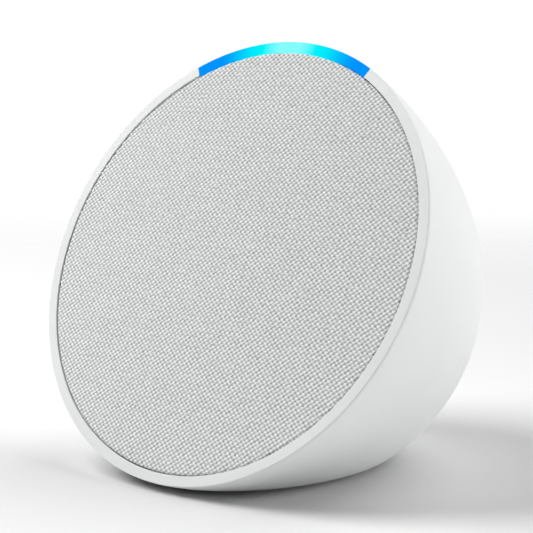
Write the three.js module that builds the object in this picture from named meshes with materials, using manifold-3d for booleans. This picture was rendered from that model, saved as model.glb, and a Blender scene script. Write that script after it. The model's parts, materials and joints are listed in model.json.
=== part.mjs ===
// Smart speaker: a half-egg shell closed by a round cloth-covered face that leans back.
//
// Axes: +Z up, the face looks along -Y and up, +X to the listener's right.
// Most pieces are built in the face's own frame: +Z out of the face, +Y up along it.
// A "depth" is a distance behind the front of the face, so it runs along the face's -Z.

import * as THREE from "three";
import { mergeVertices } from "three/addons/utils/BufferGeometryUtils.js";
import Module from "manifold-3d";

const wasm = await Module();
wasm.setup();

const degrees = THREE.MathUtils.degToRad;

// ---------------------------------------------------------------- driving dimensions, millimetres

const FACE_RADIUS = 49.5;
const FACE_TILT = degrees(26); // the face leans back from upright
const DOME_DEPTH = 61; // face to the furthest point behind it
const DOME_ACROSS = 2.9; // the dome is a superellipse: this exponent on its radius
const DOME_ALONG = 1.77; // and this one on its depth
const BASE_DROP = 45.7; // centre of the face down to the shell's flat underside
const WALL = 2.2;
const GAP = 0.3; // between pieces that touch

const FOOT_PROUD = 0.8;
const FOOT_INSET = 2;
const FOOT_SINK = 0.6; // how far the foot goes into the shell's underside

const RIM_WIDTH = 2.43;
const RIM_INNER = FACE_RADIUS - RIM_WIDTH;
const RIM_LIP = 0.6; // thickness of the rim's front lip
const SEAM = 0.25; // between the rim and the shell
const BEZEL_WALL = 0.63;
const LEDGE_FRONT = 2.7; // depth of the ledge that the grille sits on
const BEZEL_BACK = 3.9;
const LEDGE_INNER = 44.6;

const LIGHT_HALF_ANGLE = degrees(29); // the light bar, either side of the face's top
const LED_COUNT = 4;
const LED_STEP = degrees(13);

const CLOTH_RADIUS = 46.75;
const CLOTH_THICK = 0.7;
const CLOTH_FRONT = 0.15;
const PLATE_RADIUS = 46.05;
const HEX_PITCH = 12;
const HEX_RADIUS = 5.7;

const BAFFLE_FRONT = 4.6;
const BAFFLE_BACK = 6.6;
const BAFFLE_RADIUS = 46.4;
const CASE_SCREW_CIRCLE = 41.8;
const CASE_SCREW_ANGLES = [30, 150, 270].map(degrees);
const CASE_BOSS_RADIUS = 3;
const CASE_BOSS_BACK = 28; // the bosses run into the dome before this depth
const CASE_SCREW_TIP = 11.8;
const DRIVER_SCREW_CIRCLE = 25.9;
const DRIVER_SCREW_ANGLES = [45, 135, 225, 315].map(degrees);

const BOX_RADIUS = 30; // the closed chamber behind the loudspeaker
const BOX_WALL = 1.6;
const BOX_BACK = 31.6;
const BOARD_FRONT = 35;
const BOARD_BACK = 36.2;
const BOARD_SCREW_X = 21;

const KEY_DEPTH = 12.5; // centre of the keys behind the face
const KEY_RADIUS = 4.5;
const KEY_FLANGE_RADIUS = 5.7;
const KEY_STEP = degrees(16);
const SWITCH_TOP = 41.9; // distance of the switches' tops from the face's axis
const MIC_DEPTH = 21;
const MIC_HOLE_RADIUS = 0.6;
const MIC_ANGLE = degrees(8);

const INLET_HEIGHT = 19; // power inlet above the table
const INLET_Z = INLET_HEIGHT - FOOT_PROUD - BASE_DROP; // the same, from the face's centre
const RECESS_FLOOR = 48; // behind the face's centre, along Y
const INLET_BACK = 36.3; // end of the inlet's housing inside the shell, along Y
const RECESS_RADIUS = 6.2;
const RECESS_WALL = 2.4;
const NOSE_RADIUS = 3.2;
const OUTSIDE = 80; // further from the face's centre than any point of the shell

const BIG_RING = 40; // facets round the casing
const MID_RING = 24; // round the loudspeaker
const SMALL_RING = 10; // round screws and small pins

// ---------------------------------------------------------------- joining and cutting

function solidOf(geometry) {
  const bare = new THREE.BufferGeometry();
  bare.setAttribute("position", geometry.getAttribute("position"));
  bare.setIndex(geometry.getIndex());
  const merged = mergeVertices(bare, 1e-4);
  const vertProperties = new Float32Array(merged.getAttribute("position").array);
  const triVerts = new Uint32Array(merged.getIndex().array);
  return new wasm.Manifold(new wasm.Mesh({ numProp: 3, vertProperties, triVerts }));
}

function geometryOf(solid) {
  const mesh = solid.getMesh();
  const geometry = new THREE.BufferGeometry();
  geometry.setAttribute("position", new THREE.BufferAttribute(mesh.vertProperties, 3));
  geometry.setIndex(new THREE.BufferAttribute(mesh.triVerts, 1));
  const faceted = geometry.toNonIndexed();
  faceted.computeVertexNormals();
  return faceted;
}

function join(first, ...others) {
  return geometryOf(others.reduce((solid, next) => solid.add(solidOf(next)), solidOf(first)));
}

function cut(first, ...tools) {
  return geometryOf(tools.reduce((solid, tool) => solid.subtract(solidOf(tool)), solidOf(first)));
}

function common(first, second) {
  return geometryOf(solidOf(first).intersect(solidOf(second)));
}

// ---------------------------------------------------------------- basic shapes, in the face's frame

// A [radius, depth] outline turned about the face's axis.
// An outline that doesn't start on the axis is closed into a ring.
function turned(outline, segments = MID_RING) {
  const points = outline.map(([radius, depth]) => new THREE.Vector2(radius, -depth));
  if (outline[0][0] > 0) points.push(points[0].clone());
  if (THREE.ShapeUtils.area(points) < 0) points.reverse();
  return new THREE.LatheGeometry(points, segments).rotateX(Math.PI / 2);
}

function tube(inner, outer, front, back, segments) {
  return turned([[inner, front], [outer, front], [outer, back], [inner, back]], segments);
}

function prism(shape, front, back, curveSegments = 8) {
  const options = { depth: back - front, bevelEnabled: false, curveSegments };
  return new THREE.ExtrudeGeometry(shape, options).translate(0, 0, -back);
}

function block(width, height, front, back, x = 0, y = 0) {
  return new THREE.BoxGeometry(width, height, back - front).translate(x, y, -(front + back) / 2);
}

function post(radius, front, back, x = 0, y = 0, segments = SMALL_RING) {
  return new THREE.CylinderGeometry(radius, radius, back - front, segments)
    .rotateX(Math.PI / 2)
    .translate(x, y, -(front + back) / 2);
}

// A cylinder that points up along the face, from one height to another above the face's axis.
function upright(radius, low, high, depth, segments = 20) {
  return new THREE.CylinderGeometry(radius, radius, high - low, segments)
    .translate(0, (low + high) / 2, -depth);
}

// A stretch of a flat ring about the face's axis, centred on the top of the face.
function sector(inner, outer, halfAngle) {
  const shape = new THREE.Shape();
  shape.absarc(0, 0, outer, Math.PI / 2 - halfAngle, Math.PI / 2 + halfAngle, false);
  shape.absarc(0, 0, inner, Math.PI / 2 + halfAngle, Math.PI / 2 - halfAngle, true);
  return shape;
}

function hole(radius, x = 0, y = 0) {
  return new THREE.Path().absarc(x, y, radius, 0, 2 * Math.PI, true);
}

function onCircle(radius, angle) {
  return [radius * Math.cos(angle), radius * Math.sin(angle)];
}

// A lead of round section along a smooth curve.
function lead(points, radius, steps) {
  const extrudePath = new THREE.CatmullRomCurve3(points.map((p) => new THREE.Vector3(...p)));
  const section = new THREE.Shape().absarc(0, 0, radius, 0, 2 * Math.PI, false);
  return new THREE.ExtrudeGeometry(section, { extrudePath, steps, curveSegments: 4 });
}

// A screw with a domed head, its shank towards the back.
function screw(headRadius, headFront, seat, shankRadius, tip) {
  const outline = [
    [0, headFront],
    [headRadius * 0.7, headFront + 0.1],
    [headRadius, headFront + 0.5],
    [headRadius, seat],
    [shankRadius, seat],
    [shankRadius, tip - 0.5],
    [0, tip],
  ];
  return turned(outline, SMALL_RING);
}

// ---------------------------------------------------------------- scene graph

const speaker = new THREE.Group();
const body = new THREE.Group(); // origin at the face's centre, axes upright
const face = new THREE.Group(); // the face's own frame
const driver = new THREE.Group(); // the loudspeaker, measured from the back of the baffle

body.position.z = FOOT_PROUD + BASE_DROP;
face.rotation.x = Math.PI / 2 - FACE_TILT;
driver.position.z = -BAFFLE_BACK;
speaker.add(body);
body.add(face);
face.add(driver);

// Turns a shape made on the body's upright axes into the face's frame.
function upToFace(geometry) {
  return geometry.rotateX(FACE_TILT - Math.PI / 2);
}

function finish(color, roughness, metalness) {
  return new THREE.MeshStandardMaterial({ color, roughness, metalness });
}

const materials = {
  whitePlastic: finish(0xeceeed, 0.5, 0),
  rimPlastic: finish(0xe8eae9, 0.45, 0),
  diffuser: finish(0x35c8f5, 0.35, 0),
  clearPlastic: finish(0xdfe8ec, 0.15, 0),
  cloth: finish(0xc6c9c9, 0.95, 0),
  blackPlastic: finish(0x1d1f20, 0.55, 0),
  foam: finish(0x2b2c2d, 0.95, 0),
  greyRubber: finish(0xb9bcbb, 0.85, 0),
  blackRubber: finish(0x161718, 0.8, 0),
  paper: finish(0x2a2b2c, 0.9, 0),
  spiderCloth: finish(0xc99a4a, 0.9, 0),
  copper: finish(0xb8733a, 0.35, 1),
  steel: finish(0xa9adb0, 0.35, 1),
  ferrite: finish(0x3b3d40, 0.6, 0.3),
  aluminium: finish(0xc3c6c9, 0.4, 1),
  circuit: finish(0x1f5b3a, 0.5, 0),
  led: finish(0xf4efcf, 0.3, 0),
};

function add(parent, name, geometry, material) {
  const mesh = new THREE.Mesh(geometry, material);
  mesh.name = name;
  parent.add(mesh);
}

// ---------------------------------------------------------------- casing

// The dome's outline from a flat front to its furthest point, moved inwards by inset.
function domeOutline(inset, front, rings) {
  const radius = FACE_RADIUS - inset;
  const length = DOME_DEPTH - inset;
  const outline = [[0, front], [radius, front]];
  for (let ring = 1; ring < rings; ring += 1) {
    const angle = ((ring / rings) * Math.PI) / 2;
    outline.push([
      radius * Math.cos(angle) ** (2 / DOME_ACROSS),
      length * Math.sin(angle) ** (2 / DOME_ALONG),
    ]);
  }
  outline.push([0, length]);
  return outline;
}

// Everything above a level plane, height above the shell's underside.
function above(height) {
  const size = 300;
  return upToFace(new THREE.BoxGeometry(size, size, size).translate(0, 0, size / 2 - BASE_DROP + height));
}

// The dome with its flat underside, moved inwards all round by inset.
function domeSolid(inset, front, rings = 12) {
  return common(turned(domeOutline(inset, front, rings), BIG_RING), above(inset));
}

// A cylinder along Y about the power inlet's axis.
function inletRound(radius, front, back, segments = 24) {
  return upToFace(
    new THREE.CylinderGeometry(radius, radius, back - front, segments)
      .translate(0, (front + back) / 2, INLET_Z),
  );
}

function rearShell() {
  const mouth = RIM_LIP + SEAM;
  const rebateRadius = RIM_INNER + BEZEL_WALL + GAP;
  const wall = cut(domeSolid(0, mouth, 12), domeSolid(WALL, -1, 8));

  const bosses = CASE_SCREW_ANGLES.map((angle) =>
    post(CASE_BOSS_RADIUS, BAFFLE_BACK + GAP, CASE_BOSS_BACK, ...onCircle(CASE_SCREW_CIRCLE, angle)));
  const inletBoss = inletRound(RECESS_RADIUS + RECESS_WALL, RECESS_FLOOR - RECESS_WALL, OUTSIDE);
  const inside = domeSolid(WALL / 2, mouth, 6);
  const added = [...bosses, inletBoss].map((boss) => common(boss, inside));

  const bossHoles = CASE_SCREW_ANGLES.map((angle) =>
    post(1.4, BAFFLE_BACK, CASE_SCREW_TIP + 0.7, ...onCircle(CASE_SCREW_CIRCLE, angle)));
  const keyHoles = [-1, 0, 1].map((place) =>
    upright(KEY_RADIUS + GAP, SWITCH_TOP, OUTSIDE, KEY_DEPTH, 24).rotateZ(place * KEY_STEP));
  const micHoles = [-1, 1].map((side) =>
    upright(MIC_HOLE_RADIUS, SWITCH_TOP, OUTSIDE, MIC_DEPTH, 8).rotateZ(side * MIC_ANGLE));
  return cut(
    join(wall, ...added),
    post(rebateRadius, -1, BEZEL_BACK + GAP, 0, 0, BIG_RING),
    ...bossHoles,
    ...keyHoles,
    ...micHoles,
    inletRound(RECESS_RADIUS, RECESS_FLOOR, OUTSIDE),
    inletRound(NOSE_RADIUS + GAP, INLET_BACK, OUTSIDE, 16),
    footSolid(FOOT_INSET - GAP, -5, FOOT_SINK + GAP),
  );
}

// A slice of the inset dome between two heights above the shell's underside.
function footSolid(inset, low, high) {
  const dome = turned(domeOutline(inset, RIM_LIP, 12), BIG_RING);
  return cut(common(dome, above(low)), above(high));
}

function rimOutline(backPoints) {
  return [
    [RIM_INNER, 0],
    [FACE_RADIUS - 0.3, 0],
    [FACE_RADIUS - 0.08, 0.08],
    [FACE_RADIUS, 0.3],
    [FACE_RADIUS, RIM_LIP],
    [RIM_INNER + BEZEL_WALL, RIM_LIP],
    ...backPoints,
  ];
}

function frontBezel() {
  const ring = turned(rimOutline([
    [RIM_INNER + BEZEL_WALL, BEZEL_BACK],
    [LEDGE_INNER, BEZEL_BACK],
    [LEDGE_INNER, LEDGE_FRONT],
    [RIM_INNER, LEDGE_FRONT],
  ]), BIG_RING);
  const notch = prism(sector(LEDGE_INNER + 1, OUTSIDE, LIGHT_HALF_ANGLE), -1, BEZEL_BACK + 1);
  return cut(ring, notch);
}

add(face, "rear_shell", rearShell(), materials.whitePlastic);
add(face, "front_bezel", frontBezel(), materials.rimPlastic);
add(face, "base_foot", footSolid(FOOT_INSET, -FOOT_PROUD, FOOT_SINK), materials.greyRubber);

// ---------------------------------------------------------------- grille

function grilleCloth() {
  const turnedEdge = 2.4; // the cloth wraps round the plate to this depth
  const inner = CLOTH_RADIUS - 0.4;
  return turned([
    [0, CLOTH_FRONT],
    [CLOTH_RADIUS - 0.3, CLOTH_FRONT],
    [CLOTH_RADIUS, CLOTH_FRONT + 0.3],
    [CLOTH_RADIUS, turnedEdge],
    [inner, turnedEdge],
    [inner, CLOTH_FRONT + CLOTH_THICK],
    [0, CLOTH_FRONT + CLOTH_THICK],
  ], BIG_RING);
}

// A disc with a honeycomb of openings inside a plain border.
function grillePlate() {
  const shape = new THREE.Shape().absarc(0, 0, PLATE_RADIUS, 0, 2 * Math.PI, false);
  const rows = Math.ceil(PLATE_RADIUS / HEX_PITCH) + 1;
  const rowStep = (HEX_PITCH * Math.sqrt(3)) / 2;
  for (let row = -rows; row <= rows; row += 1) {
    for (let column = -rows; column <= rows; column += 1) {
      const x = (column + (row % 2 === 0 ? 0 : 0.5)) * HEX_PITCH;
      const y = row * rowStep;
      if (Math.hypot(x, y) + HEX_RADIUS > LEDGE_INNER) continue;
      const corners = [0, 1, 2, 3, 4, 5].map((corner) => {
        const [dx, dy] = onCircle(HEX_RADIUS, degrees(30 + 60 * corner));
        return new THREE.Vector2(x + dx, y + dy);
      });
      shape.holes.push(new THREE.Path(corners));
    }
  }
  return prism(shape, CLOTH_FRONT + CLOTH_THICK + GAP, LEDGE_FRONT - GAP, BIG_RING / 2);
}

add(face, "grille_fabric", grilleCloth(), materials.cloth);
add(face, "grille_plate", grillePlate(), materials.blackPlastic);

// ---------------------------------------------------------------- light bar

const LIGHT_BAR_BACK = 1.2;
const LED_FRONT = 3.5;
const LED_BOARD_BACK = 5.05;
const LED_BACK = 4.05;
const LED_RADIUS = 46.5; // of the circle that they lie on
const GUIDE_STEP = 45.9; // the light guide widens inwards to this radius behind the rim's ledge

function lightBar() {
  const ring = turned(rimOutline([
    [RIM_INNER + BEZEL_WALL, LIGHT_BAR_BACK],
    [RIM_INNER, LIGHT_BAR_BACK],
  ]), BIG_RING);
  const endGap = GAP / FACE_RADIUS;
  return common(ring, prism(sector(LEDGE_INNER, OUTSIDE, LIGHT_HALF_ANGLE - endGap), -1, BEZEL_BACK));
}

function lightGuide() {
  const outer = RIM_INNER + BEZEL_WALL;
  const ring = turned([
    [RIM_INNER, LIGHT_BAR_BACK + GAP],
    [outer, LIGHT_BAR_BACK + GAP],
    [outer, LED_FRONT - GAP],
    [GUIDE_STEP, LED_FRONT - GAP],
    [GUIDE_STEP, LEDGE_FRONT],
    [RIM_INNER, LEDGE_FRONT],
  ], BIG_RING);
  return common(ring, prism(sector(LEDGE_INNER, OUTSIDE, LIGHT_HALF_ANGLE - degrees(1)), -1, BEZEL_BACK));
}

add(face, "light_bar", lightBar(), materials.diffuser);
add(face, "light_guide", lightGuide(), materials.clearPlastic);
add(
  face,
  "led_board",
  prism(sector(LEDGE_INNER, LED_RADIUS, LIGHT_HALF_ANGLE - degrees(3)), LED_BACK + GAP, LED_BOARD_BACK),
  materials.circuit,
);
for (let index = 0; index < LED_COUNT; index += 1) {
  const angle = (index - (LED_COUNT - 1) / 2) * LED_STEP;
  const led = block(2, 1.1, LED_FRONT, LED_BACK, 0, LED_RADIUS).rotateZ(-angle);
  add(face, `led_${index + 1}`, led, materials.led);
}

// ---------------------------------------------------------------- baffle and chamber

const DRIVER_OPENING = 21.8;

function frontBaffle() {
  const notchHalfAngle = LIGHT_HALF_ANGLE + degrees(1);
  const notchRadius = 44.2; // clears the light board
  const left = Math.PI / 2 + notchHalfAngle;
  const right = Math.PI / 2 - notchHalfAngle;
  const shape = new THREE.Shape();
  shape.absarc(0, 0, BAFFLE_RADIUS, left, right + 2 * Math.PI, false);
  shape.absarc(0, 0, notchRadius, right, left, false);
  shape.holes.push(hole(DRIVER_OPENING));
  const screwHoles = (radius, circle, angles) =>
    angles.map((angle) => hole(radius, ...onCircle(circle, angle)));
  shape.holes.push(...screwHoles(1.5, CASE_SCREW_CIRCLE, CASE_SCREW_ANGLES));
  shape.holes.push(...screwHoles(1.2, DRIVER_SCREW_CIRCLE, DRIVER_SCREW_ANGLES));
  return common(prism(shape, BAFFLE_FRONT, BAFFLE_BACK), above(WALL + GAP));
}

const SEAL_BACK = BAFFLE_BACK + 0.8;
const SPEAKER_LEAD_Y = -25.6; // where the loudspeaker's lead leaves the chamber

function speakerBox() {
  const inner = BOX_RADIUS - BOX_WALL;
  const mouth = SEAL_BACK + GAP;
  const cup = turned([
    [0, BOX_BACK - BOX_WALL],
    [inner, BOX_BACK - BOX_WALL],
    [inner, mouth],
    [BOX_RADIUS, mouth],
    [BOX_RADIUS, BOX_BACK],
    [0, BOX_BACK],
  ]);
  const posts = [-1, 1].map((side) => post(2.4, BOX_BACK - 0.5, BOARD_FRONT - GAP, side * BOARD_SCREW_X, 0));
  const screwHoles = [-1, 1].map((side) => post(1.2, BOX_BACK - 0.4, BOARD_FRONT, side * BOARD_SCREW_X, 0));
  return cut(
    join(cup, ...posts),
    ...screwHoles,
    post(1.3, BOX_BACK - 3, BOX_BACK + 1, 0, SPEAKER_LEAD_Y),
  );
}

add(face, "front_baffle", frontBaffle(), materials.blackPlastic);
add(
  face,
  "chamber_seal",
  tube(BOX_RADIUS - BOX_WALL, BOX_RADIUS, BAFFLE_BACK + GAP, SEAL_BACK),
  materials.foam,
);
add(face, "speaker_box", speakerBox(), materials.blackPlastic);

const SCREW_SEAT = BAFFLE_FRONT - GAP;
const caseScrew = screw(2.3, 3, SCREW_SEAT, 1.1, CASE_SCREW_TIP);
const driverScrew = screw(1.8, 3.2, SCREW_SEAT, 0.9, 10.4);
CASE_SCREW_ANGLES.forEach((angle, index) => {
  const place = onCircle(CASE_SCREW_CIRCLE, angle);
  add(face, `case_screw_${index + 1}`, caseScrew.clone().translate(...place, 0), materials.steel);
});
DRIVER_SCREW_ANGLES.forEach((angle, index) => {
  const place = onCircle(DRIVER_SCREW_CIRCLE, angle);
  add(face, `driver_screw_${index + 1}`, driverScrew.clone().translate(...place, 0), materials.steel);
});

// ---------------------------------------------------------------- loudspeaker
// Depths here are measured from the back of the baffle.

function driverBasket() {
  const frame = turned([
    [20.6, 1.2],
    [27.4, 1.2],
    [27.4, 2.4],
    [22.2, 2.4],
    [15.4, 12],
    [15.4, 12.6],
    [8.6, 12.6],
    [8.6, 11.6],
    [14, 11.6],
    [20.6, 2.8],
  ]);
  const window = block(9, 60, 4, 10.6);
  const screwHoles = DRIVER_SCREW_ANGLES.map((angle) =>
    post(1.2, 0, 4, ...onCircle(DRIVER_SCREW_CIRCLE, angle)));
  return cut(frame, window, window.clone().rotateZ(Math.PI / 2), ...screwHoles);
}

// A half-round roll between two flat lips.
function driverSurround() {
  const middle = 18.9;
  const outerRoll = 1.95;
  const innerRoll = 1.5;
  const lip = 0.9;
  const thickness = outerRoll - innerRoll;
  const arc = (radius, steps) => {
    const points = [];
    for (let step = 0; step <= steps; step += 1) {
      const angle = Math.PI * (1 - step / steps);
      points.push([middle + radius * Math.cos(angle), lip - thickness - radius * Math.sin(angle)]);
    }
    return points;
  };
  return turned([
    [16.2, lip - thickness],
    ...arc(outerRoll, 4),
    [22.2, lip - thickness],
    [22.2, lip],
    ...arc(innerRoll, 4).reverse(),
    [16.2, lip],
  ]);
}

// A disc of concentric waves.
function driverSpider() {
  const inner = 7.2;
  const outer = 14.7;
  const waves = 4;
  const front = [];
  const back = [];
  for (let step = 0; step <= 2 * waves; step += 1) {
    const radius = inner + ((outer - inner) * step) / (2 * waves);
    const depth = 9.4 + (step % 2 === 0 ? 0.3 : -0.3);
    front.push([radius, depth]);
    back.unshift([radius, depth + 0.35]);
  }
  return turned([...front, ...back]);
}

function domeCap(radius, height, edge, thickness) {
  const arc = (r, h) => [0, 1, 2, 3, 4].map((step) => {
    const angle = (step / 4) * (Math.PI / 2);
    return [step === 0 ? 0 : r * Math.sin(angle), edge - h * Math.cos(angle)];
  });
  const front = arc(radius, height);
  const back = arc(radius - thickness, height - thickness).reverse();
  return turned([...front, ...back]);
}

const CONE_EDGE = 17;
const CONE_NECK = 7.2;

function driverCone() {
  return turned([
    [CONE_EDGE, 1.2],
    [CONE_EDGE, 1.7],
    [CONE_NECK + 0.5, 8],
    [CONE_NECK, 8],
    [CONE_NECK, 7.4],
    [CONE_EDGE - 1, 1.2],
  ]);
}

function driverTerminals() {
  const strip = block(9, 3.6, 2.7, 3.7, 0, -24.6);
  const tabs = [-3, 3].map((x) => block(1.6, 0.6, 3.4, 6.2, x, -24.6));
  return join(strip, ...tabs);
}

const YOKE = [[0, 13], [6.2, 13], [6.2, 20.3], [15.4, 20.3], [15.4, 22.3], [0, 22.3]];

add(driver, "driver_gasket", tube(22.6, 24.5, GAP, 0.9), materials.foam);
add(driver, "driver_basket", driverBasket(), materials.steel);
add(driver, "driver_surround", driverSurround(), materials.blackRubber);
add(driver, "driver_cone", driverCone(), materials.paper);
add(driver, "driver_dust_cap", domeCap(8.6, 3, 6.3, 0.4), materials.paper);
add(driver, "voice_coil_former", tube(6.6, 6.9, 6.7, 17.4), materials.aluminium);
add(driver, "voice_coil_winding", tube(7.2, 7.6, 11.7, 16.1), materials.copper);
add(driver, "driver_spider", driverSpider(), materials.spiderCloth);
add(driver, "driver_top_plate", tube(8, 14.4, 12.9, 14.9), materials.steel);
add(driver, "driver_magnet", tube(9.4, 15.4, 15.2, 20), materials.ferrite);
add(driver, "driver_yoke", turned(YOKE), materials.steel);
add(driver, "driver_terminals", driverTerminals(), materials.copper);
add(
  face,
  "speaker_lead",
  lead([
    [0, -24.6, -13.4],
    [0, -26.2, -18],
    [0, -26.4, -25],
    [0, SPEAKER_LEAD_Y, -31],
    [0, -24.4, -34.6],
  ], 0.7, 14),
  materials.blackRubber,
);

// ---------------------------------------------------------------- keys, switches and microphones

const CONTROL_HALF_ANGLE = degrees(24);
const FLEX_OUTER = SWITCH_TOP - 2.3;
const FLEX_INNER = FLEX_OUTER - 0.5;

// A cap that is flush with the shell, a flange that keeps it in, and a stem that presses the switch.
function keyCap() {
  const skin = 1.2; // from the shell's inner face to the flange's inner face
  const column = (radius) => upright(radius, SWITCH_TOP, OUTSIDE, KEY_DEPTH, 24);
  const inner = domeSolid(WALL + skin, -1);
  const cap = common(column(KEY_RADIUS), domeSolid(0, -1));
  const flange = common(column(KEY_FLANGE_RADIUS), domeSolid(WALL + GAP, -1));
  const stem = upright(1.6, SWITCH_TOP + 0.7, 46.5, KEY_DEPTH, 12);
  return join(cut(join(cap, flange), inner), stem);
}

// A square switch body with a well for its plunger.
function switchBody() {
  const bodySize = 5.2;
  const height = 2;
  return cut(
    new THREE.BoxGeometry(bodySize, height, bodySize).translate(0, SWITCH_TOP - height / 2, -KEY_DEPTH),
    upright(1.4, SWITCH_TOP - 1.3, SWITCH_TOP + 1, KEY_DEPTH, 12),
  );
}

const KEYS = ["volume_down", "mic_off", "volume_up"];
const cap = keyCap();
const switchGeometry = switchBody();
const plunger = upright(1.1, SWITCH_TOP - 0.6, SWITCH_TOP + 0.4, KEY_DEPTH, 12);
KEYS.forEach((name, index) => {
  const place = new THREE.Group();
  place.rotation.z = (1 - index) * KEY_STEP;
  face.add(place);
  add(place, `${name}_key`, cap, materials.whitePlastic);
  add(place, `${name}_switch`, switchGeometry, materials.blackPlastic);
  add(place, `${name}_plunger`, plunger, materials.blackPlastic);
});

add(
  face,
  "button_bracket",
  prism(sector(FLEX_INNER - 2.3, FLEX_INNER - GAP, CONTROL_HALF_ANGLE), BAFFLE_BACK + GAP, 24),
  materials.blackPlastic,
);
add(
  face,
  "button_board",
  prism(sector(FLEX_INNER, FLEX_OUTER, CONTROL_HALF_ANGLE - degrees(1)), 7.6, 23.6),
  materials.circuit,
);

const micTop = FLEX_OUTER + GAP + 1.1;
const micBoot = common(
  cut(
    upright(1.8, micTop + GAP, 50, MIC_DEPTH, 16),
    upright(0.8, micTop - 1, 51, MIC_DEPTH, 8),
  ),
  domeSolid(WALL + GAP, -1),
);
const micCase = new THREE.BoxGeometry(3, 1.1, 2.8).translate(0, micTop - 0.55, -MIC_DEPTH);
[["left", 1], ["right", -1]].forEach(([side, sign]) => {
  const place = new THREE.Group();
  place.rotation.z = sign * MIC_ANGLE;
  face.add(place);
  add(place, `microphone_${side}`, micCase, materials.aluminium);
  add(place, `microphone_boot_${side}`, micBoot, materials.blackRubber);
});

// A flat cable whose middle line lies in the plane of symmetry, as [depth, height] points.
function ribbon(points, width, thickness) {
  const curve = new THREE.SplineCurve(points.map((p) => new THREE.Vector2(...p)));
  const steps = 12;
  const edge = (side) => {
    const line = [];
    for (let step = 0; step <= steps; step += 1) {
      const along = curve.getTangent(step / steps);
      const offset = new THREE.Vector2(-along.y, along.x).multiplyScalar((side * thickness) / 2);
      line.push(curve.getPoint(step / steps).add(offset));
    }
    return line;
  };
  const shape = new THREE.Shape([...edge(1), ...edge(-1).reverse()]);
  return new THREE.ExtrudeGeometry(shape, { depth: width, bevelEnabled: false })
    .translate(0, 0, -width / 2)
    .rotateY(Math.PI / 2);
}

add(
  face,
  "button_ribbon",
  ribbon([[24, FLEX_OUTER - 0.3], [27.5, 38.4], [32, 34.3], [33.9, 30], [34.4, 25.5]], 8, 0.25),
  materials.circuit,
);

// ---------------------------------------------------------------- electronics

function mainBoard() {
  const shape = new THREE.Shape().absarc(0, 0, 27, degrees(-68), degrees(248), false);
  for (const side of [-1, 1]) shape.holes.push(hole(1.4, side * BOARD_SCREW_X, 0));
  return prism(shape, BOARD_FRONT, BOARD_BACK);
}

// A folded sheet over the hottest part of the board.
function heatSpreader() {
  const front = BOARD_BACK + 3.3;
  return join(
    block(30, 30, front, front + 1.2, 0, 3),
    block(30, 1.2, front, front + 7, 0, 18),
  );
}

add(face, "main_board", mainBoard(), materials.circuit);
add(face, "shield_can", block(22, 18, BOARD_BACK + GAP, BOARD_BACK + 3, 0, 4), materials.steel);
add(face, "heat_spreader", heatSpreader(), materials.aluminium);
const connector = block(8, 4.5, BOARD_BACK + GAP, BOARD_BACK + 4.3, 0, -18.7);
add(face, "power_connector", connector, materials.blackPlastic);
[["left", -1], ["right", 1]].forEach(([side, sign]) => {
  const boardScrew = screw(2, 0, 1, 0.9, 5).rotateY(Math.PI);
  boardScrew.translate(sign * BOARD_SCREW_X, 0, -(BOARD_BACK + GAP + 1));
  add(face, `board_screw_${side}`, boardScrew, materials.steel);
});

// ---------------------------------------------------------------- power inlet

function powerInlet() {
  const length = RECESS_FLOOR - RECESS_WALL - GAP - INLET_BACK;
  const housing = upToFace(
    new THREE.BoxGeometry(9, length, 9).translate(0, INLET_BACK + length / 2, INLET_Z),
  );
  return cut(
    join(housing, inletRound(NOSE_RADIUS, INLET_BACK + 1, RECESS_FLOOR - GAP, 16)),
    inletRound(2.2, INLET_BACK + 4, RECESS_FLOOR + 1, 16),
  );
}

const powerLead = lead([
  [0, INLET_BACK - 2 * GAP, INLET_Z - 0.7],
  [0, 33, -29.4],
  [0, 30.8, -32],
  [0, 29.5, -34.6],
], 0.9, 10);

add(face, "power_inlet", powerInlet(), materials.blackPlastic);
add(face, "inlet_pin", inletRound(0.8, INLET_BACK + 4 + GAP, RECESS_FLOOR - 1.4, 12), materials.steel);
add(body, "power_lead", powerLead, materials.blackRubber);

// The origin lies on the table, under the middle of the product.
const extent = new THREE.Box3().setFromObject(speaker, true);
body.position.y = -(extent.min.y + extent.max.y) / 2;

export default speaker;
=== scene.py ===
import json
import math

import bmesh
import bpy
import numpy as np
from mathutils import Matrix, Vector


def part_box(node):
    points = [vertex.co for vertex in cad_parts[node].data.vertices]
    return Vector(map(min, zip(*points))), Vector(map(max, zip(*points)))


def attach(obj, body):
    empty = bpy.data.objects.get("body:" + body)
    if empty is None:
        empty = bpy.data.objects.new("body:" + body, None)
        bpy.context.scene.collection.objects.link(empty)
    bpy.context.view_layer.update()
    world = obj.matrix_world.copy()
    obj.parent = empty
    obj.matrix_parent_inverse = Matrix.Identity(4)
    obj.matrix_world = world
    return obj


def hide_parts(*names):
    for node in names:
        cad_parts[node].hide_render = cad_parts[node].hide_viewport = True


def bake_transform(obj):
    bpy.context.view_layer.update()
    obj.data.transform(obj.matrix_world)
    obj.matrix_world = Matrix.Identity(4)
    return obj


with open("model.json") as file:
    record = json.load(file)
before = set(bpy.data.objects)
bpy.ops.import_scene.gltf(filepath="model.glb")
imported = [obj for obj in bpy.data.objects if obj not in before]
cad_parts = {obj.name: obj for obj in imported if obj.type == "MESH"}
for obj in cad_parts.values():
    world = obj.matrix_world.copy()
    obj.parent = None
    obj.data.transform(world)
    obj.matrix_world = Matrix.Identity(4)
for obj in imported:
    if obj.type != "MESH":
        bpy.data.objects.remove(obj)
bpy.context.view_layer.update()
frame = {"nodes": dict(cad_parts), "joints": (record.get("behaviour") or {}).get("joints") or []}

# Lengths are in millimetres in the face's own frame until a mesh is made:
# x to the right, y up along the face, z out of it. A depth is a distance behind the face.
MM = 0.001

# ---------------------------------------------------------------- the face's frame, from the CAD


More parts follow.
